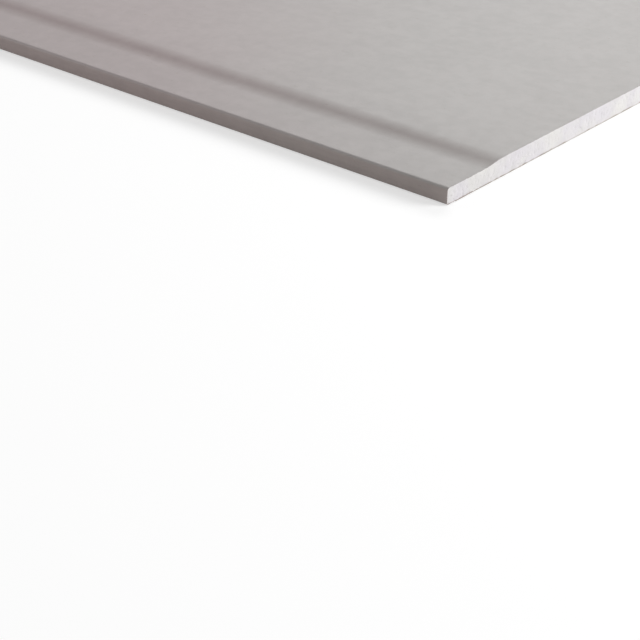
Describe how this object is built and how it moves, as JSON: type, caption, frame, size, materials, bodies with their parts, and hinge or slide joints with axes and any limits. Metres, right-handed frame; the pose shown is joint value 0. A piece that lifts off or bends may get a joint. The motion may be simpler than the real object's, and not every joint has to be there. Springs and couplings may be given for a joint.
{
  "type": "drywall sheet",
  "caption": "Flat rectangular drywall sheet: a gypsum core wrapped in face paper, with tapered long edges, folded flaps and a back paper, for lining walls and ceilings.",
  "frame": {"origin": "middle of the back of the sheet, on the surface that it lies on", "axes": "+X along the sheet's length, +Y across its width, +Z through its thickness, out of the face; the long edges are those at +Y and -Y"},
  "size_m": [2.4, 1.2, 0.0125],
  "materials": {
    "gypsum": "matt, finely granular and porous where it is cut",
    "face_paper": "matt smooth warm grey paper",
    "back_paper": "matt rougher grey-brown recycled paper"
  },
  "bodies": {
    "root": {"gypsum_core": "gypsum", "face_paper": "face_paper", "back_paper": "back_paper"}
  },
  "joints": []
}
